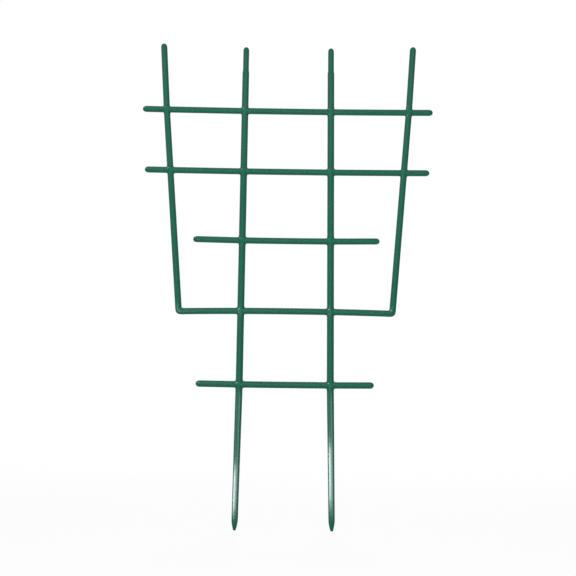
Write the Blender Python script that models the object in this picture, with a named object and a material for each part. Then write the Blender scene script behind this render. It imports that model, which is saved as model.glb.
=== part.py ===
"""Fan trellis for a plant pot: two long stakes, a fanned outer frame and short and long crossbars.

The trellis is flat. X runs across it, Z runs up it and Y runs through its thickness, with the front
towards -Y. The origin lies midway between the stakes on the soil line, and all sizes are in metres.
Every bar is a piece of its own. Where two bars cross, the upright one keeps its back half and the
crossbar its front half, so that they lie in one plane.
"""

import math
from collections import namedtuple

import bmesh
import bpy
from mathutils import Matrix, Vector

# Stakes and their legs
STAKE_DIAMETER = 0.0048
STAKE_SPACING = 0.0618
STAKE_RISE = 0.0485
SPIGOT_DIAMETER = 0.0042
SPIGOT_LENGTH = 0.0194
SPIGOT_SHOULDER = 0.0015
LEG_DEPTH = 0.0800
LEG_SPLAY = math.radians(0.68)
LEG_END_DIAMETER = 0.0042
POINT_LENGTH = 0.0073
POINT_FLAT_DIAMETER = 0.0016

# Outer uprights
UPRIGHT_DIAMETER = 0.0045
UPRIGHT_RISE = 0.0504
UPRIGHT_LEAN = math.radians(5.27)
UPRIGHT_END_LEAN = math.radians(4.41)
FOOT_WIDTH = 0.1471

# Crossbars, from the soil up. A rise is from the bar below, an overhang is from the axis of the
# outermost bar that is crossed to the crossbar's end, and the setback is from an upright's axis
CROSSBAR_DIAMETER = 0.0044
LOWEST_BAR_HEIGHT = 0.0157
LOWEST_BAR_OVERHANG = 0.0296
LOWEST_BAR_SAG = 0.0003
FOOT_BAR_RISE = 0.0493
FOOT_BAR_ARCH = 0.0009
SHORT_BAR_RISE = 0.0510
SHORT_BAR_SETBACK = 0.0130
SHORT_BAR_SAG = 0.0006
SECOND_BAR_RISE = 0.0502
SECOND_BAR_OVERHANG = 0.0182
SECOND_BAR_SAG = 0.0005
TOP_BAR_RISE = 0.0453
TOP_BAR_OVERHANG = 0.0173
TOP_BAR_SAG = 0.0006

# Clearance left between the two halves of a joint
LAP_GAP = 0.0003

# How finely round forms are divided
ROUTE_STEP = 0.0005
CROSSING_TRIES = 4
BAR_SIDES = 16
DOME_RINGS = 3
DOME_TURN = math.radians(80)
POINT_RINGS = 4
BAR_SPANS = 8
SHARP_ANGLE = math.radians(40)

# Finish
GREEN = (0.020, 0.170, 0.090, 1.0)
ROUGHNESS = 0.28

BACK = Vector((0, 1, 0))
FRONT = -BACK

LOWEST_BAR_Z = LOWEST_BAR_HEIGHT
FOOT_BAR_Z = LOWEST_BAR_Z + FOOT_BAR_RISE
SHORT_BAR_Z = FOOT_BAR_Z + SHORT_BAR_RISE
SECOND_BAR_Z = SHORT_BAR_Z + SECOND_BAR_RISE
TOP_BAR_Z = SECOND_BAR_Z + TOP_BAR_RISE

# A bar's route gives the point of its axis at a height or, on a crossbar, at a distance across.
# Its stops are places along the route with the bar's radius there, and its home is where it is held
Stop = namedtuple("Stop", "place radius")
Bar = namedtuple("Bar", "name route home radius stops")
Joint = namedtuple("Joint", "upright crossbar point")


def stake_reach(z):
    """Distance of a stake's axis from the middle at height z: straight, then splayed along the leg."""
    return STAKE_SPACING / 2 + math.tan(LEG_SPLAY) * max(0.0, LOWEST_BAR_Z - z)


def upright_reach(z):
    """Distance of an outer upright's axis from the middle at height z; it straightens at the top bar."""
    leaning = min(z, TOP_BAR_Z) - FOOT_BAR_Z
    straightened = max(0.0, z - TOP_BAR_Z)
    return FOOT_WIDTH / 2 + math.tan(UPRIGHT_LEAN) * leaning + math.tan(UPRIGHT_END_LEAN) * straightened


def dome_stops(base, radius, height):
    """Stops of a domed end that rises from its base by a height, which is negative towards lower places."""
    turns = [DOME_TURN * ring / DOME_RINGS for ring in range(1, DOME_RINGS + 1)]
    full_height = height / math.sin(DOME_TURN)
    return [Stop(base + full_height * math.sin(turn), radius * math.cos(turn)) for turn in turns]


def point_stops():
    """Stops of a leg's blunt point, from its flat end up to the full leg."""
    flat = POINT_FLAT_DIAMETER / 2
    swell = LEG_END_DIAMETER / 2 - flat
    shares = [ring / POINT_RINGS for ring in range(POINT_RINGS + 1)]
    return [Stop(POINT_LENGTH * share - LEG_DEPTH, flat + swell * math.sin(share * math.pi / 2))
            for share in shares]


def stake(name, side):
    """A stake from its point to the dome on its spigot, side being -1 for left and 1 for right."""
    radius = STAKE_DIAMETER / 2
    spigot_radius = SPIGOT_DIAMETER / 2
    top = TOP_BAR_Z + STAKE_RISE
    shoulder = top - SPIGOT_LENGTH
    dome_base = top - spigot_radius
    stops = point_stops()
    stops.append(Stop(LOWEST_BAR_Z, radius))
    stops.append(Stop(shoulder, radius))
    stops.append(Stop(shoulder + SPIGOT_SHOULDER, spigot_radius))
    stops.append(Stop(dome_base, spigot_radius))
    stops += dome_stops(dome_base, spigot_radius, spigot_radius)
    return Bar(name, lambda z: Vector((side * stake_reach(z), 0, z)), LOWEST_BAR_Z, radius, stops)


def upright(name, side):
    """An outer upright, from the corner where it comes flush with the foot bar to its domed top."""
    radius = UPRIGHT_DIAMETER / 2
    dome_base = TOP_BAR_Z + UPRIGHT_RISE - radius
    stops = dome_stops(FOOT_BAR_Z, radius, -CROSSBAR_DIAMETER / 2)[::-1]
    stops.append(Stop(FOOT_BAR_Z, radius))
    stops.append(Stop(TOP_BAR_Z, radius))
    stops.append(Stop(dome_base, radius))
    stops += dome_stops(dome_base, radius, radius)
    return Bar(name, lambda z: Vector((side * upright_reach(z), 0, z)), FOOT_BAR_Z, radius, stops)


def crossbar(name, z, reach, sag, end_height=CROSSBAR_DIAMETER / 2):
    """A crossbar that ends at x = -reach and x = reach, and whose middle hangs lower by sag."""
    radius = CROSSBAR_DIAMETER / 2
    base = reach - end_height
    stops = dome_stops(-base, radius, -end_height)[::-1]
    stops += [Stop(base * (2 * span / BAR_SPANS - 1), radius) for span in range(BAR_SPANS + 1)]
    stops += dome_stops(base, radius, end_height)
    return Bar(name, lambda x: Vector((x, 0, z - sag * (1 - (x / base) ** 2))), 0, radius, stops)


def foot_bar():
    """The crossbar between the feet of the outer uprights, flush with their outer sides."""
    end_height = UPRIGHT_DIAMETER / 2
    return crossbar("foot_bar", FOOT_BAR_Z, FOOT_WIDTH / 2 + end_height, -FOOT_BAR_ARCH, end_height)


def direction(route, place):
    """Unit direction of a route, taken over a short step to either side."""
    return (route(place + ROUTE_STEP) - route(place - ROUTE_STEP)).normalized()


def crossing(upright_bar, cross_bar):
    """Point where the axes of an upright bar and a crossbar meet."""
    point = cross_bar.route(0)
    for _ in range(CROSSING_TRIES):
        point = upright_bar.route(point.z)
        point.z = cross_bar.route(point.x).z
    return point


def frame_at(route, place):
    """Turn that carries Z onto the route's direction and keeps Y through the thickness."""
    along = direction(route, place)
    across = BACK.cross(along)
    return Matrix((across, BACK, along)).transposed().to_4x4()


def bar_mesh(bar):
    """Carries a ring from stop to stop along the bar's route and closes it at both ends."""
    mesh = bmesh.new()
    poses = []
    for stop in bar.stops:
        size = Matrix.Diagonal((stop.radius, stop.radius, 1, 1))
        poses.append(Matrix.Translation(bar.route(stop.place)) @ frame_at(bar.route, stop.place) @ size)
    bmesh.ops.create_circle(mesh, segments=BAR_SIDES, radius=1, matrix=poses[0])
    rim = mesh.edges[:]
    for before, after in zip(poses, poses[1:]):
        grown = bmesh.ops.extrude_edge_only(mesh, edges=rim)["geom"]
        corners = [part for part in grown if isinstance(part, bmesh.types.BMVert)]
        rim = [part for part in grown if isinstance(part, bmesh.types.BMEdge) and part.is_boundary]
        bmesh.ops.transform(mesh, matrix=after @ before.inverted(), verts=corners)
    bmesh.ops.holes_fill(mesh, edges=[edge for edge in mesh.edges if edge.is_boundary])
    bmesh.ops.recalc_face_normals(mesh, faces=mesh.faces)
    return mesh


def plastic(name):
    """Glossy green moulded plastic for one bar."""
    material = bpy.data.materials.new(name)
    material.use_nodes = True
    shader = material.node_tree.nodes["Principled BSDF"]
    shader.inputs["Base Color"].default_value = GREEN
    shader.inputs["Roughness"].default_value = ROUGHNESS
    shader.inputs["Metallic"].default_value = 0.0
    return material


def place_object(name, mesh, home, parent):
    """Makes an object of a bmesh, with its origin at its home point, under the given parent."""
    mesh.transform(Matrix.Translation(-home))
    data = bpy.data.meshes.new(name)
    mesh.to_mesh(data)
    mesh.free()
    thing = bpy.data.objects.new(name, data)
    thing.parent = parent
    bpy.context.collection.objects.link(thing)
    return thing


def add_notch(mesh, bar, mate, mate_place, kept_side):
    """Adds to a cutter the block that makes room for a mate, sparing the half on the kept side.

    The block's flat walls run along the mate, one clearance off its sides, and its inner face lies
    half a clearance past the bar's middle.
    """
    width = 2 * (mate.radius + LAP_GAP)
    length = 4 * bar.radius
    depth = 2 * bar.radius
    centre = mate.route(mate_place) - kept_side * (depth / 2 - LAP_GAP / 2)
    block = Matrix.Translation(centre) @ frame_at(mate.route, mate_place)
    bmesh.ops.create_cube(mesh, size=1, matrix=block @ Matrix.Diagonal((width, depth, length, 1)))


def notch_blocks(bar, joints):
    """The blocks of all the joints on one bar."""
    blocks = bmesh.new()
    for joint in joints:
        if bar is joint.upright:
            add_notch(blocks, bar, joint.crossbar, joint.point.x, BACK)
        if bar is joint.crossbar:
            add_notch(blocks, bar, joint.upright, joint.point.z, FRONT)
    return blocks


def build_bar(bar, joints, parent):
    """Builds one bar at its home and cuts its joints' notches with a hidden cutter."""
    home = bar.route(bar.home)
    thing = place_object(bar.name, bar_mesh(bar), home, parent)
    thing.location = home
    thing.data.materials.append(plastic(bar.name))
    thing.data.shade_smooth()
    thing.data.set_sharp_from_angle(angle=SHARP_ANGLE)

    cutter = place_object(bar.name + "_notches", notch_blocks(bar, joints), home, thing)
    cutter.hide_render = True
    cutter.display_type = "WIRE"
    cut = thing.modifiers.new("notches", "BOOLEAN")
    cut.operation = "DIFFERENCE"
    cut.solver = "EXACT"
    cut.object = cutter


def clear_scene():
    """Removes what the scene holds."""
    for thing in list(bpy.data.objects):
        bpy.data.objects.remove(thing)


def build_trellis():
    """Builds all bars under one empty at the soil line."""
    clear_scene()
    soil_line = bpy.data.objects.new("soil_line", None)
    bpy.context.collection.objects.link(soil_line)

    stakes = [stake("left_stake", -1), stake("right_stake", 1)]
    uprights = [upright("left_upright", -1), upright("right_upright", 1)]
    top_reach = upright_reach(TOP_BAR_Z) + TOP_BAR_OVERHANG
    second_reach = upright_reach(SECOND_BAR_Z) + SECOND_BAR_OVERHANG
    short_reach = upright_reach(SHORT_BAR_Z) - SHORT_BAR_SETBACK
    lowest_reach = stake_reach(LOWEST_BAR_Z) + LOWEST_BAR_OVERHANG
    long_bars = [
        crossbar("top_bar", TOP_BAR_Z, top_reach, TOP_BAR_SAG),
        crossbar("second_bar", SECOND_BAR_Z, second_reach, SECOND_BAR_SAG),
        foot_bar(),
    ]
    short_bars = [
        crossbar("short_bar", SHORT_BAR_Z, short_reach, SHORT_BAR_SAG),
        crossbar("lowest_bar", LOWEST_BAR_Z, lowest_reach, LOWEST_BAR_SAG),
    ]

    joints = []
    for bar in long_bars:
        joints += [Joint(post, bar, crossing(post, bar)) for post in stakes + uprights]
    for bar in short_bars:
        joints += [Joint(post, bar, crossing(post, bar)) for post in stakes]
    for bar in stakes + uprights + long_bars + short_bars:
        build_bar(bar, joints, soil_line)


build_trellis()
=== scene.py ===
"""Looks of the fan trellis: one glossy green moulding, seen from low in front against white.

The moulding is shaped as one coarse cage, in which each bar is a tube of eight rails, and is then
subdivided. So every crossing is fused, with soft fillets in its corners. It is parted into the nine
members where their half-lap joints are: a crossbar keeps the front half of a crossing, and an upright
bar keeps the back half. X runs across, Z up and Y through the thickness, and sizes are in metres.
"""

import math
from collections import namedtuple

import bmesh
import bpy
from mathutils import Matrix, Vector


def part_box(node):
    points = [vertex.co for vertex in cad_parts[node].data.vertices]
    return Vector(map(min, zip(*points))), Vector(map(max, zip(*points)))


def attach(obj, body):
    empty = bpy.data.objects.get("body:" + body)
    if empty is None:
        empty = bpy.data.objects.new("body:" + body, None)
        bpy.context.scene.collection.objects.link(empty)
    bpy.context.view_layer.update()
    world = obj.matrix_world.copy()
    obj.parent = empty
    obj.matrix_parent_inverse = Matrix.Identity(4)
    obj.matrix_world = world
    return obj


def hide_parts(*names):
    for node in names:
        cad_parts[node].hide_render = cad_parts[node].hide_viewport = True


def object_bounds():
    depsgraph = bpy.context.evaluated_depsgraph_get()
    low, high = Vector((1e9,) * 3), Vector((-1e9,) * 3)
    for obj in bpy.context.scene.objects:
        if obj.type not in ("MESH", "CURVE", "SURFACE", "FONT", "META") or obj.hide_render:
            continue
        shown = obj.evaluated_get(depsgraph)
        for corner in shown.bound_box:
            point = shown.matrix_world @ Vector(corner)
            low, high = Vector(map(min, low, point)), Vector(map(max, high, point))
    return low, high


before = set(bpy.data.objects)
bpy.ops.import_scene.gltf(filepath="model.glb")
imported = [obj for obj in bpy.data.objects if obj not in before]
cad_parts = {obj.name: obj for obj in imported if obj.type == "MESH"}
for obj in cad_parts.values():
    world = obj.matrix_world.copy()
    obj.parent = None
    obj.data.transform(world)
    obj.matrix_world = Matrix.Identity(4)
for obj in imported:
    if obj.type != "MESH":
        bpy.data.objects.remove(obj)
cad_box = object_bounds()
boxes = {name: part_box(name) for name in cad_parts}

# Forms of the members that the frame's boxes don't give
SPIGOT_DIAMETER = 0.0042
SPIGOT_LENGTH = 0.0194
SPIGOT_SHOULDER = 0.0015
LEG_SPLAY = math.radians(0.68)
LEG_END_DIAMETER = 0.0042
POINT_LENGTH = 0.0073
POINT_FLAT_DIAMETER = 0.0016
UPRIGHT_LEAN = math.radians(5.27)
UPRIGHT_END_LEAN = math.radians(4.41)

# Soft forms of the moulding: how far fillets and the foot's bend run along the bars, how close the
# rings lie that hold an edge, how far the points end inside their boxes, and how far the line between
# the mould's halves stands proud
FILLET = 0.0019
FOOT_BEND = 0.0036
HOLD = 0.0012
POINT_HOLD = 0.00025
POINT_SPARE = 0.00005
PARTING_LINE_HEIGHT = 0.00004

# The cage is also cut here on both sides and in the middle, so that the crossbars can sag or arch
STATION = 0.052
# Subdivision levels of the cage, and the angle from which an edge is shaded as sharp
LEVELS = 3
SHARP_ANGLE = math.radians(40)
# A ring of eight corners stands this much outside the round bar that its subdivision gives
RING_SWELL = 1 / 0.9026
# Where the rails lie across a bar, in shares of its radius, and the shares below which a corner is on
# the crown or inside the outermost rails
RAILS = (-1, -math.sqrt(0.5), 0, math.sqrt(0.5), 1)
CROWN = 0.01
OUTER_RAIL = 0.99
# Heights at a crossing, by how many of its two bars have their crown and their middle rail there:
# with them the crowns run through level, and valleys are left between them on the diagonals
CROSSING_HEIGHTS = {(2, 0): 0.789, (1, 1): 1.128, (0, 2): 0.639}
# Rings of a round end by their angle over its base, and how much taller than the real end they stand
DOME_TURNS = [math.radians(turn) for turn in (0, 32, 62, 84)]
DOME_SWELL = 1.011
# Rings of a leg's point
POINT_RINGS = 4
# Distances that count as none, and the allowance when a corner's bar is looked up
SNAP = 1e-6
SLACK = 0.0005

# The plastic: two greens that blend in blotches, the relief of its surface, its gloss, and how much
# rougher or smoother the grain makes it than its mean
GREEN = (0.004, 0.141, 0.076, 1)
GREEN_BLUER = (0.005, 0.130, 0.077, 1)
BLOTCHES_PER_METRE = 45
GRAIN_PER_METRE = 900
GRAIN_HEIGHT = 0.000001
WAVES_PER_METRE = 110
WAVE_HEIGHT = 0.00003
GLOSS = 0.5
ROUGHNESS = 0.2
ROUGHNESS_CHANGE = 0.05
# A noise runs from 0 to 1 around this
NOISE_MIDDLE = 0.5

# The camera of the photograph: in front of the legs and looking up a little
CAMERA_PLACE = (-0.0026, -0.5457, -0.0122)
CAMERA_YAW = math.radians(0.426)
CAMERA_PITCH = math.radians(9.81)
CAMERA_ROLL = math.radians(0.651)
CAMERA_LENS = 50

WHITE = (1, 1, 1, 1)

# The floor: its colour in the light, how much of it the camera sees as plain white instead, and the
# distances from the trellis between which that rises to all of it
FLOOR_SIZE = 2.4
FLOOR_COLOUR = (0.5, 0.5, 0.5, 1)
FLOOR_WHITENESS = 0.93
FLOOR_FADE_DISTANCES = (0.3, 1.15)

# The room: the light that it gives, how bright the gloss mirrors it, and how much brighter it does so
# one way. Between these depths, the mirrored room and the mirrored floor turn white towards the back
ROOM_FILL = 0.06
ROOM_SHEEN = 0.32
ROOM_SLOPE = 0.28
LIGHTER_WAY = (-0.6, 0, 0.8)
ROOM_WHITE_DEPTHS = (0.65, 0.95)
FLOOR_WHITE_DEPTHS = (0, 0.3)

# The lamps: two soft lights that the gloss doesn't mirror, and strip lights that it alone shows
FRONT_PLACE = (-0.04, -0.7, 0.17)
BACK_PLACE = (0.1, 1.25, 1.1)
SOFTBOX_SIZE = (0.4, 0.4)
FRONT_POWER = 4.05
BACK_POWER = 18
# A wide strip light in front of the bars' top ends, and its power for each square metre
TOP_STRIP_PLACE = (0, -0.35, 0.39)
TOP_STRIP_SIZE = (0.8, 0.12)
TOP_STRIP_STRENGTH = 1.1
# Gridded strip lights stand in an arc around each leg and light that stake alone. Bright ones give
# it a streak from one height to another, and dim ones a sheen from the lowest bar down. Each has its
# azimuth from the front and its power for each square metre
STREAK_HEIGHTS = {"left_stake": (-0.0755, -0.0445), "right_stake": (-0.070, -0.0285)}
STREAK_STRIPS = ((-77, 3.9), (-48, 5.1), (-19, 3.8), (10, 1.3), (40, 0.65))
STREAK_STRIP_WIDTH = 0.048
SHEEN_HEIGHTS = (-0.078, 0.0115)
SHEEN_STRIPS = ((-60, 0.38), (0, 0.32), (36, 0.75))
SHEEN_STRIP_WIDTH = 0.104
LEG_STRIP_DISTANCE = 0.09
LEG_STRIP_SPREAD = math.radians(45)
LEG_STRIP_COLOUR = (0.91, 0.93, 1)
# Small lights that, seen from the camera, only the webs of the crossings and the foot's bends mirror.
# Each has the crossbars that it reaches, its place, its width and its power for each square metre
SPOT_LIGHTS = (
    ("high_spot", ("top_bar", "second_bar", "short_bar"), (-0.42, -0.32, 0.68), 0.3, 13),
    ("middle_spot", ("foot_bar", "lowest_bar"), (-0.38, -0.45, 0.45), 0.3, 30),
    ("low_spot", ("foot_bar",), (-0.163, -0.168, 0.018), 0.14, 9),
)

BACK = Vector((0, 1, 0))
ACROSS = Vector((1, 0, 0))
UP = Vector((0, 0, 1))

# A bar of the plan: its straight axis runs from a start along a direction, and its rails are kept
# from low to high along it. Its route gives the real axis at a height or, for a crossbar, at an x
Bar = namedtuple("Bar", "name start along radius low high route")


def core(name):
    """The box of a member without its radius on each side, and the radius."""
    low, high = boxes[name]
    inset = Vector((high.y, high.y, high.y))
    return low + inset, high - inset, high.y


def swell(radius):
    """Radius of the cage's rings around a bar."""
    return radius * RING_SWELL


def hub_reach(radius):
    """Distance from a bar's axis to the last ring of its fillets."""
    return swell(radius) + 2 * FILLET


def make_row(name, reach, arched=False):
    """A crossbar, which in the plan is straight at the height of its ends."""
    low, high, radius = core(name)
    end, middle = (low.z, high.z) if arched else (high.z, low.z)
    base = high.x

    def route(x):
        return Vector((x, 0, end + (middle - end) * (1 - (x / base) ** 2)))

    return Bar(name, Vector((0, 0, end)), ACROSS, radius, -reach, reach, route)


def offset(bar, point):
    """How far a point of the plan lies to the side of a bar's axis."""
    return (point - bar.start).dot(BACK.cross(bar.along))


def distance_along(bar, point):
    """How far along a bar's axis a point of the plan lies."""
    return (point - bar.start).dot(bar.along)


def covers(bar, point, slack=0.0):
    """Whether a point of the plan lies on a bar."""
    inside = abs(offset(bar, point)) < swell(bar.radius) + slack
    return inside and bar.low - slack < distance_along(bar, point) < bar.high + slack


# Where the members are
trellis_middle = (cad_box[0] + cad_box[1]) / 2
stake_low, _, stake_radius = core("right_stake")
upright_low, _, upright_radius = core("right_upright")
top_height = core("top_bar")[1].z
foot_height = core("foot_bar")[0].z
lowest_height = core("lowest_bar")[1].z
row_radius = core("top_bar")[2]
stake_x = stake_low.x
foot_x = upright_low.x
plan_bottom = lowest_height - hub_reach(row_radius)
plan_top = top_height + hub_reach(row_radius)


def stake_route(side):
    """Axis of a stake: straight, then splayed along its leg."""
    return lambda z: Vector((side * (stake_x + math.tan(LEG_SPLAY) * max(0, lowest_height - z)), 0, z))


def upright_route(side):
    """Axis of an outer upright, which straightens a little at the top bar."""
    def route(z):
        leaning = math.tan(UPRIGHT_LEAN) * (min(z, top_height) - foot_height)
        straightened = math.tan(UPRIGHT_END_LEAN) * max(0, z - top_height)
        return Vector((side * (foot_x + leaning + straightened), 0, z))
    return route


def make_posts():
    """The stakes and the outer uprights, from left to right."""
    posts = []
    for name, side in (("left_stake", -1), ("right_stake", 1)):
        start = Vector((side * stake_x, 0, lowest_height))
        low, high = plan_bottom - lowest_height, plan_top - lowest_height
        posts.append(Bar(name, start, UP, stake_radius, low, high, stake_route(side)))
    for name, side in (("left_upright", -1), ("right_upright", 1)):
        start = Vector((side * foot_x, 0, foot_height))
        along = Vector((side * math.sin(UPRIGHT_LEAN), 0, math.cos(UPRIGHT_LEAN)))
        low = swell(row_radius) + FILLET
        high = (plan_top - foot_height) / along.z
        posts.append(Bar(name, start, along, upright_radius, low, high, upright_route(side)))
    return posts


def make_rows():
    """The crossbars from the top down, each up to the last ring around its outermost post."""
    upright_axis = upright_route(1)
    rows = []
    for name in ("top_bar", "second_bar"):
        reach = upright_axis(core(name)[1].z).x + hub_reach(upright_radius) / math.cos(UPRIGHT_LEAN)
        rows.append(make_row(name, reach))
    rows.append(make_row("short_bar", stake_x + hub_reach(stake_radius)))
    foot_reach = foot_x - (swell(upright_radius) + FILLET) / math.cos(UPRIGHT_LEAN)
    rows.append(make_row("foot_bar", foot_reach, arched=True))
    rows.append(make_row("lowest_bar", stake_x + hub_reach(stake_radius)))
    return rows


def score(sheet, point, normal):
    """Cuts an edge line right across the sheet."""
    geom = sheet.verts[:] + sheet.edges[:] + sheet.faces[:]
    bmesh.ops.bisect_plane(sheet, geom=geom, dist=SNAP, plane_co=point, plane_no=normal)


def score_bar(sheet, bar):
    """Cuts a bar's rails, and the rings that shape the fillets on both sides of it."""
    normal = BACK.cross(bar.along)
    radius = swell(bar.radius)
    sides = [radius * rail for rail in RAILS]
    for reach in (radius + FILLET, radius + 2 * FILLET):
        sides += [-reach, reach]
    for side in sides:
        score(sheet, bar.start + normal * side, normal)


def lift(bars, point):
    """Height of the cage's front over the plan at a point: that of the thickest bar there."""
    heights = [0.0]
    crowns = 0
    for bar in bars:
        share = abs(offset(bar, point)) / swell(bar.radius)
        if share < OUTER_RAIL and covers(bar, point, SLACK):
            heights.append(swell(bar.radius) * math.sqrt(1 - share ** 2))
            crowns += share < CROWN
    met = len(heights) - 1
    return max(heights) * CROSSING_HEIGHTS.get((crowns, met - crowns), 1)


def bend(rows, posts, point):
    """Moves a point of the straight plan to where the sagging rows and leaning posts have it."""
    row = min(rows, key=lambda bar: abs(offset(bar, point)))
    moved = point.copy()
    moved.z += row.route(point.x).z - row.start.z
    for post in posts:
        if abs(offset(post, point)) < hub_reach(post.radius) + SLACK:
            axis = post.start + post.along * ((point.z - post.start.z) / post.along.z)
            moved.x += post.route(moved.z).x - axis.x
    return moved


def make_plan(rows, posts):
    """The front of all crossings and of the bars between them, scored out of one flat sheet."""
    sheet = bmesh.new()
    size = Matrix.Diagonal((core("top_bar")[1].x, plan_top - plan_bottom, 1, 1))
    middle = Matrix.Translation(Vector((0, 0, (plan_top + plan_bottom) / 2)))
    upright = middle @ Matrix.Rotation(math.pi / 2, 4, "X") @ size
    bmesh.ops.create_grid(sheet, x_segments=1, y_segments=1, size=1, matrix=upright)
    for bar in rows + posts:
        score_bar(sheet, bar)
    for station in (-STATION, 0, STATION):
        score(sheet, ACROSS * station, ACROSS)
    bars = rows + posts
    waste = [face for face in sheet.faces
             if not any(covers(bar, face.calc_center_median()) for bar in bars)]
    bmesh.ops.delete(sheet, geom=waste, context="FACES")
    for corner in sheet.verts:
        height = lift(bars, corner.co)
        corner.co = bend(rows, posts, corner.co) - BACK * height
    return sheet


def ring_pose(centre, along, radius, stretch=1.0):
    """Where a unit ring lies around a bar: its centre, the bar's direction and the bar's radius."""
    heading = along.normalized()
    turn = Matrix((BACK.cross(heading), BACK, heading)).transposed().to_4x4()
    reach = swell(radius)
    return Matrix.Translation(centre) @ turn @ Matrix.Diagonal((reach * stretch, reach, reach, 1))


def open_rim(mesh, centre):
    """The open ring of the cage around a point."""
    reach = swell(stake_radius) + SLACK
    open_edges = [edge for edge in mesh.edges if edge.is_boundary]
    return [edge for edge in open_edges if all((end.co - centre).length < reach for end in edge.verts)]


def rim_pose(rim, along, radius):
    """The pose of an open ring as it was cut, which may be a little askew to its bar."""
    corners = list(dict.fromkeys(end for edge in rim for end in edge.verts))
    centre = sum((corner.co for corner in corners), Vector()) / len(corners)
    outermost = min(corners, key=lambda corner: abs(corner.co.y))
    normal = (outermost.co - centre).cross(BACK)
    return ring_pose(centre, normal * normal.dot(along), radius)


def grow(mesh, rim, radius, poses):
    """Carries an open ring of the given radius from pose to pose, and returns its last edges."""
    before = rim_pose(rim, poses[0].to_3x3() @ UP, radius)
    for after in poses:
        grown = bmesh.ops.extrude_edge_only(mesh, edges=rim)["geom"]
        corners = [part for part in grown if isinstance(part, bmesh.types.BMVert)]
        rim = [part for part in grown if isinstance(part, bmesh.types.BMEdge) and part.is_boundary]
        bmesh.ops.transform(mesh, matrix=after @ before.inverted(), verts=corners)
        before = after
    return rim


def grow_end(mesh, start, radius, poses):
    """Carries the open ring around a point from pose to pose and closes it."""
    rim = grow(mesh, open_rim(mesh, start), radius, poses)
    bmesh.ops.holes_fill(mesh, edges=rim)


def dome_poses(base, along, radius):
    """Rings of a round end over its base, after one that keeps the bar's thickness up to there."""
    height = radius * DOME_SWELL - PARTING_LINE_HEIGHT
    poses = [ring_pose(base - along * HOLD, along, radius)]
    for turn in DOME_TURNS:
        centre = base + along * height * math.sin(turn)
        poses.append(ring_pose(centre, along, radius * math.cos(turn)))
    return poses


def grow_row_end(mesh, row, side):
    """The free end of a crossbar beyond its outermost post."""
    base = row.route(side * core(row.name)[1].x)
    poses = dome_poses(base, ACROSS * side, row.radius)
    grow_end(mesh, row.route(side * row.high), row.radius, poses)


def grow_upright_top(mesh, post):
    """The free end of an outer upright over the top bar."""
    start = post.route(plan_top)
    base = post.route(core(post.name)[1].z)
    poses = dome_poses(base, (base - start).normalized(), post.radius)
    grow_end(mesh, start, post.radius, poses)


def grow_stake_top(mesh, post):
    """A stake over the top bar: the shoulder, then a thinner spigot with a round end."""
    top = boxes[post.name][1].z
    shoulder = top - SPIGOT_LENGTH
    spigot = SPIGOT_DIAMETER / 2
    stops = [(shoulder - HOLD, post.radius), (shoulder, post.radius),
             (shoulder + SPIGOT_SHOULDER, spigot), (shoulder + SPIGOT_SHOULDER + HOLD, spigot)]
    poses = [ring_pose(post.route(height), UP, radius) for height, radius in stops]
    poses += dome_poses(post.route(top - spigot), UP, spigot)
    grow_end(mesh, post.route(plan_top), post.radius, poses)


def grow_leg(mesh, post):
    """A stake's leg below the lowest bar, tapered and splayed, with a blunt point."""
    tip = boxes[post.name][0].z + POINT_SPARE
    end = LEG_END_DIAMETER / 2
    flat = POINT_FLAT_DIAMETER / 2
    stops = [(tip + POINT_LENGTH + HOLD, end)]
    for ring in range(POINT_RINGS):
        share = 1 - ring / POINT_RINGS
        stops.append((tip + POINT_LENGTH * share, flat + (end - flat) * math.sin(share * math.pi / 2)))
    stops += [(tip + POINT_HOLD, flat), (tip, flat), (tip, flat / 2)]
    down = post.route(tip) - post.route(plan_bottom)
    poses = [ring_pose(post.route(height), down, radius) for height, radius in stops]
    grow_end(mesh, post.route(plan_bottom), post.radius, poses)


def grow_foot(mesh, foot_bar, post, side):
    """The tight bend in which the foot bar turns up into an outer upright."""
    outwards = ACROSS * side
    corner = foot_bar.route(side * foot_x)
    stretch = 1 / math.cos(post.along.angle(outwards) / 2)
    poses = [
        ring_pose(corner - outwards * FOOT_BEND, outwards, foot_bar.radius),
        ring_pose(corner, outwards + post.along, post.radius, stretch),
        ring_pose(corner + post.along * FOOT_BEND, post.along, post.radius),
    ]
    bar_rim = open_rim(mesh, foot_bar.route(side * foot_bar.high))
    post_rim = open_rim(mesh, post.start + post.along * post.low)
    bmesh.ops.bridge_loops(mesh, edges=grow(mesh, bar_rim, foot_bar.radius, poses) + post_rim)


def beside(bar, point):
    """How far to the side of a bar's real axis a point lies, which beyond its ends is infinite."""
    low, high = boxes[bar.name]
    at, first, last = (point.x, low.x, high.x) if bar.along == ACROSS else (point.z, low.z, high.z)
    if not first - FILLET < at < last + FILLET:
        return math.inf
    return abs((point - bar.route(at)).dot(BACK.cross(bar.along)))


def owner(rows, posts, point):
    """The bar that a face belongs to: at a crossing the crossbar in front and the post behind."""
    row = min(rows, key=lambda bar: beside(bar, point))
    post = min(posts, key=lambda bar: beside(bar, point))
    if all(beside(bar, point) < swell(bar.radius) + FILLET for bar in (row, post)):
        return row if point.y < 0 else post
    return min(row, post, key=lambda bar: beside(bar, point))


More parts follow.
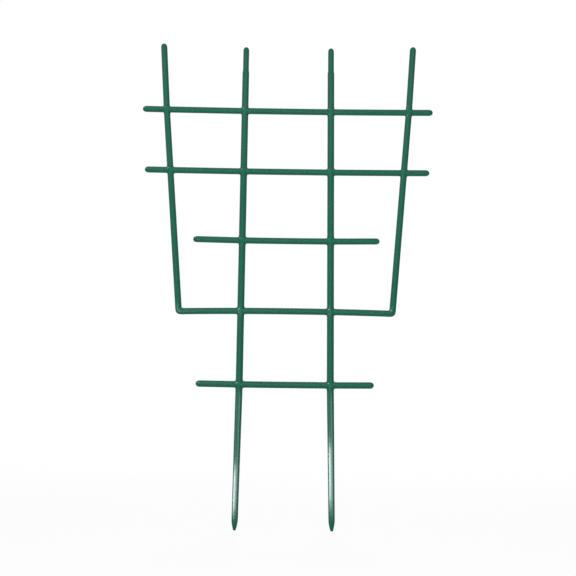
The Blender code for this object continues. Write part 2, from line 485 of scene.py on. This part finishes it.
def make_cage(rows, posts):
    """The coarse cage of the whole moulding; each face's material number is its member's."""
    cage = make_plan(rows, posts)
    everything = cage.verts[:] + cage.edges[:] + cage.faces[:]
    bmesh.ops.mirror(cage, geom=everything, axis="Y", merge_dist=SNAP)
    foot_bar = next(row for row in rows if row.name == "foot_bar")
    for side in (-1, 1):
        for row in rows:
            if row is not foot_bar:
                grow_row_end(cage, row, side)
    for post in posts:
        if post.name.endswith("stake"):
            grow_stake_top(cage, post)
            grow_leg(cage, post)
        else:
            grow_upright_top(cage, post)
            grow_foot(cage, foot_bar, post, math.copysign(1, post.start.x))
    bmesh.ops.recalc_face_normals(cage, faces=cage.faces)
    members = rows + posts
    for face in cage.faces:
        face.material_index = members.index(owner(rows, posts, face.calc_center_median()))
    return cage


def subdivided(cage):
    """The cage's smooth surface, with the mould's parting line along its middle."""
    coarse = bpy.data.meshes.new("moulding")
    cage.to_mesh(coarse)
    cage.free()
    moulding = bpy.data.objects.new("moulding", coarse)
    bpy.context.collection.objects.link(moulding)
    smooth = moulding.modifiers.new("smooth", "SUBSURF")
    smooth.levels = LEVELS
    smooth.render_levels = LEVELS
    drawn = moulding.evaluated_get(bpy.context.evaluated_depsgraph_get())
    surface = bmesh.new()
    surface.from_mesh(drawn.to_mesh())
    bpy.data.objects.remove(moulding)
    for corner in surface.verts:
        if abs(corner.co.y) < SNAP:
            corner.co += corner.normal * PARTING_LINE_HEIGHT
            corner.co.y = 0
    return surface


def chains(edges):
    """Edges sorted into connected chains."""
    left = dict.fromkeys(edges)
    found = []
    while left:
        chain = [left.popitem()[0]]
        for edge in chain:
            near = [other for end in edge.verts for other in end.link_edges if other in left]
            for other in dict.fromkeys(near):
                del left[other]
                chain.append(other)
        found.append(chain)
    return found


def close_joints(mesh):
    """Closes a member's open joints: a half disc across each cut bar, then the flat middle."""
    rims = [edge for edge in mesh.edges if edge.is_boundary]
    arcs = [edge for edge in rims if any(abs(end.co.y) > SNAP for end in edge.verts)]
    for arc in chains(arcs):
        ends = [end for edge in arc for end in edge.verts if abs(end.co.y) < SNAP]
        chord = bmesh.ops.contextual_create(mesh, geom=ends)["edges"]
        bmesh.ops.edgeloop_fill(mesh, edges=arc + chord)
    middles = [edge for edge in mesh.edges if edge.is_boundary]
    bmesh.ops.holes_fill(mesh, edges=middles)
    walls = [face for face in mesh.faces if len(face.verts) > 4]
    bmesh.ops.triangulate(mesh, faces=walls)


def make_member(surface, number, name):
    """One bar, parted from the moulding at its joints."""
    mesh = surface.copy()
    others = [face for face in mesh.faces if face.material_index != number]
    bmesh.ops.delete(mesh, geom=others, context="FACES")
    close_joints(mesh)
    bmesh.ops.recalc_face_normals(mesh, faces=mesh.faces)
    for face in mesh.faces:
        face.material_index = 0
    member = bpy.data.objects.new("moulded_" + name, bpy.data.meshes.new("moulded_" + name))
    mesh.to_mesh(member.data)
    mesh.free()
    member.data.shade_smooth()
    member.data.set_sharp_from_angle(angle=SHARP_ANGLE)
    bpy.context.collection.objects.link(member)
    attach(member, "root")
    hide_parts(name)
    return member


class Socket:
    """An output of a shader node, which is reckoned with like a number."""

    def __init__(self, nodes, output):
        self.nodes = nodes
        self.output = output

    def reckon(self, operation, first, second):
        return self.nodes.add("ShaderNodeMath", {"operation": operation}, {0: first, 1: second})["Value"]

    def __add__(self, other):
        return self.reckon("ADD", self, other)

    __radd__ = __add__

    def __sub__(self, other):
        return self.reckon("SUBTRACT", self, other)

    def __rsub__(self, other):
        return self.reckon("SUBTRACT", other, self)

    def __mul__(self, other):
        return self.reckon("MULTIPLY", self, other)

    __rmul__ = __mul__


class Nodes:
    """The node tree of a material or of the world, emptied to be made anew."""

    def __init__(self, holder):
        holder.use_nodes = True
        self.tree = holder.node_tree
        self.tree.nodes.clear()

    def add(self, kind, settings, sockets):
        """Makes a node and returns its outputs by name; a socket is given by its name or number."""
        node = self.tree.nodes.new(kind)
        for name, value in settings.items():
            setattr(node, name, value)
        for name, value in sockets.items():
            if isinstance(name, str):
                target = next(socket for socket in node.inputs if socket.enabled and socket.name == name)
            else:
                target = node.inputs[name]
            if isinstance(value, Socket):
                self.tree.links.new(value.output, target)
            else:
                target.default_value = value
        return {output.name: Socket(self, output) for output in node.outputs if output.enabled}


def make_plastic():
    """Glossy green polypropylene as it leaves the mould, with slow blotches and a fine grain."""
    plastic = bpy.data.materials.new("moulded_plastic")
    nodes = Nodes(plastic)
    at = nodes.add("ShaderNodeTexCoord", {}, {})["Object"]
    blotches = nodes.add("ShaderNodeTexNoise", {}, {"Vector": at, "Scale": BLOTCHES_PER_METRE})["Fac"]
    waves = nodes.add("ShaderNodeTexNoise", {}, {"Vector": at, "Scale": WAVES_PER_METRE})["Fac"]
    grain = nodes.add("ShaderNodeTexNoise", {}, {"Vector": at, "Scale": GRAIN_PER_METRE})["Fac"]
    colour = nodes.add("ShaderNodeMix", {"data_type": "RGBA"},
                       {"Factor": blotches, "A": GREEN, "B": GREEN_BLUER})["Result"]
    relief = waves * WAVE_HEIGHT + grain * GRAIN_HEIGHT
    normal = nodes.add("ShaderNodeBump", {}, {"Distance": 1, "Height": relief})["Normal"]
    roughness = ROUGHNESS + (grain - NOISE_MIDDLE) * ROUGHNESS_CHANGE
    surface = nodes.add("ShaderNodeBsdfPrincipled", {},
                        {"Base Color": colour, "Roughness": roughness, "Normal": normal,
                         "Specular IOR Level": GLOSS})["BSDF"]
    nodes.add("ShaderNodeOutputMaterial", {}, {"Surface": surface})
    return plastic


def eased(nodes, value, first, last):
    """A share that goes smoothly from 0 at a value's first stage to 1 at its last."""
    return nodes.add("ShaderNodeMapRange", {"interpolation_type": "SMOOTHSTEP"},
                     {"Value": value, "From Min": first, "From Max": last})["Result"]


def depth_of(nodes, vector):
    """How far a place or direction lies to the back."""
    return nodes.add("ShaderNodeSeparateXYZ", {}, {"Vector": vector})["Y"]


def make_world():
    """A white room that gives a low fill of light, and that the gloss mirrors dimmer in front."""
    world = bpy.data.worlds.new("room")
    bpy.context.scene.world = world
    nodes = Nodes(world)
    direction = nodes.add("ShaderNodeTexCoord", {}, {})["Generated"]
    behind = eased(nodes, depth_of(nodes, direction), *ROOM_WHITE_DEPTHS)
    turned = nodes.add("ShaderNodeVectorMath", {"operation": "DOT_PRODUCT"},
                       {0: direction, 1: LIGHTER_WAY})["Value"]
    soft = ROOM_SHEEN + turned * ROOM_SLOPE
    mirrored = soft + behind * (1 - soft)
    path = nodes.add("ShaderNodeLightPath", {}, {})
    shown = path["Is Camera Ray"] + path["Is Transmission Ray"]
    level = ROOM_FILL + path["Is Glossy Ray"] * (mirrored - ROOM_FILL) + shown * (1 - ROOM_FILL)
    light = nodes.add("ShaderNodeBackground", {}, {"Color": WHITE, "Strength": level})["Background"]
    nodes.add("ShaderNodeOutputWorld", {}, {"Surface": light})


def make_floor():
    """A plain pale floor under the points, which fades into the white room towards its rim.

    The gloss mirrors only the part of it behind the trellis as white.
    """
    sheet = bmesh.new()
    bmesh.ops.create_grid(sheet, x_segments=1, y_segments=1, size=FLOOR_SIZE / 2,
                          matrix=Matrix.Translation((0, 0, cad_box[0].z)))
    floor = bpy.data.objects.new("floor", bpy.data.meshes.new("floor"))
    sheet.to_mesh(floor.data)
    sheet.free()
    bpy.context.collection.objects.link(floor)
    paint = bpy.data.materials.new("floor_paint")
    floor.data.materials.append(paint)
    nodes = Nodes(paint)
    at = nodes.add("ShaderNodeTexCoord", {}, {})["Object"]
    path = nodes.add("ShaderNodeLightPath", {}, {})
    mirrored = path["Is Glossy Ray"] * eased(nodes, depth_of(nodes, at), *FLOOR_WHITE_DEPTHS)
    seen = path["Is Camera Ray"] + path["Is Transmission Ray"] + mirrored
    colour = nodes.add("ShaderNodeMix", {"data_type": "RGBA"},
                       {"Factor": seen, "A": FLOOR_COLOUR, "B": WHITE})["Result"]
    matt = nodes.add("ShaderNodeBsdfDiffuse", {}, {"Color": colour})["BSDF"]
    white = nodes.add("ShaderNodeEmission", {}, {"Color": WHITE, "Strength": 1})["Emission"]
    distance = nodes.add("ShaderNodeVectorMath", {"operation": "LENGTH"}, {0: at})["Value"]
    rim = eased(nodes, distance, *FLOOR_FADE_DISTANCES)
    share = seen * (FLOOR_WHITENESS + rim * (1 - FLOOR_WHITENESS))
    mixed = nodes.add("ShaderNodeMixShader", {}, {0: share, 1: matt, 2: white})["Shader"]
    nodes.add("ShaderNodeOutputMaterial", {}, {"Surface": mixed})


def make_softbox(name, place, size, aim, power):
    """A soft light of some width and height, aimed at a point."""
    light = bpy.data.lights.new(name, "AREA")
    light.shape = "RECTANGLE"
    light.size, light.size_y = size
    light.energy = power
    softbox = bpy.data.objects.new(name, light)
    bpy.context.collection.objects.link(softbox)
    softbox.location = place
    softbox.rotation_mode = "QUATERNION"
    softbox.rotation_quaternion = (Vector(aim) - Vector(place)).to_track_quat("-Z", "Y")
    softbox.visible_camera = False
    return softbox


def make_strip(name, place, size, aim, strength):
    """A strip light that shows in the gloss alone."""
    strip = make_softbox(name, place, size, aim, strength * size[0] * size[1])
    strip.visible_diffuse = False
    return strip


def reached(name, members):
    """A collection of the members that a light reaches, when it reaches no others."""
    lit = bpy.data.collections.new(name)
    for member in members:
        lit.objects.link(bpy.data.objects["moulded_" + member])
    return lit


def make_leg_strips(stake, strips, width, low, high):
    """An arc of strip lights around a stake's leg, from one height to another."""
    centre = Vector((stake.route(low).x, 0, (low + high) / 2))
    lit = reached(f"lit_{stake.name}", [stake.name])
    for azimuth, strength in strips:
        turn = Matrix.Rotation(math.radians(azimuth), 3, "Z")
        place = centre - turn @ BACK * LEG_STRIP_DISTANCE
        name = f"{stake.name}_strip_{azimuth}"
        strip = make_strip(name, place, (width, high - low), centre, strength)
        strip.data.spread = LEG_STRIP_SPREAD
        strip.data.color = LEG_STRIP_COLOUR
        strip.light_linking.receiver_collection = lit


def make_spot(name, members, place, width, strength):
    """A small light that reaches some members alone."""
    spot = make_strip(name, place, (width, width), trellis_middle, strength)
    spot.light_linking.receiver_collection = reached(f"{name}_reach", members)


def make_camera():
    """The camera of the photograph."""
    camera = bpy.data.objects.new("camera", bpy.data.cameras.new("camera"))
    camera.data.lens = CAMERA_LENS
    bpy.context.collection.objects.link(camera)
    camera.matrix_world = (Matrix.Translation(CAMERA_PLACE) @ Matrix.Rotation(-CAMERA_YAW, 4, "Z")
                           @ Matrix.Rotation(math.pi / 2 + CAMERA_PITCH, 4, "X")
                           @ Matrix.Rotation(CAMERA_ROLL, 4, "Z"))
    bpy.context.scene.camera = camera


rows = make_rows()
posts = make_posts()
surface = subdivided(make_cage(rows, posts))
members = [make_member(surface, number, bar.name) for number, bar in enumerate(rows + posts)]
surface.free()
plastic = make_plastic()
for member in members:
    member.data.materials.append(plastic)

make_world()
make_floor()
for name, place, power in (("front", FRONT_PLACE, FRONT_POWER), ("back", BACK_PLACE, BACK_POWER)):
    softbox = make_softbox(name + "_softbox", place, SOFTBOX_SIZE, trellis_middle, power)
    softbox.visible_glossy = False
make_strip("top_strip", TOP_STRIP_PLACE, TOP_STRIP_SIZE, (0, 0, cad_box[1].z), TOP_STRIP_STRENGTH)
for post in posts:
    if post.name in STREAK_HEIGHTS:
        make_leg_strips(post, STREAK_STRIPS, STREAK_STRIP_WIDTH, *STREAK_HEIGHTS[post.name])
        make_leg_strips(post, SHEEN_STRIPS, SHEEN_STRIP_WIDTH, *SHEEN_HEIGHTS)
for spot in SPOT_LIGHTS:
    make_spot(*spot)
make_camera()
bpy.context.scene.view_settings.view_transform = "Standard"
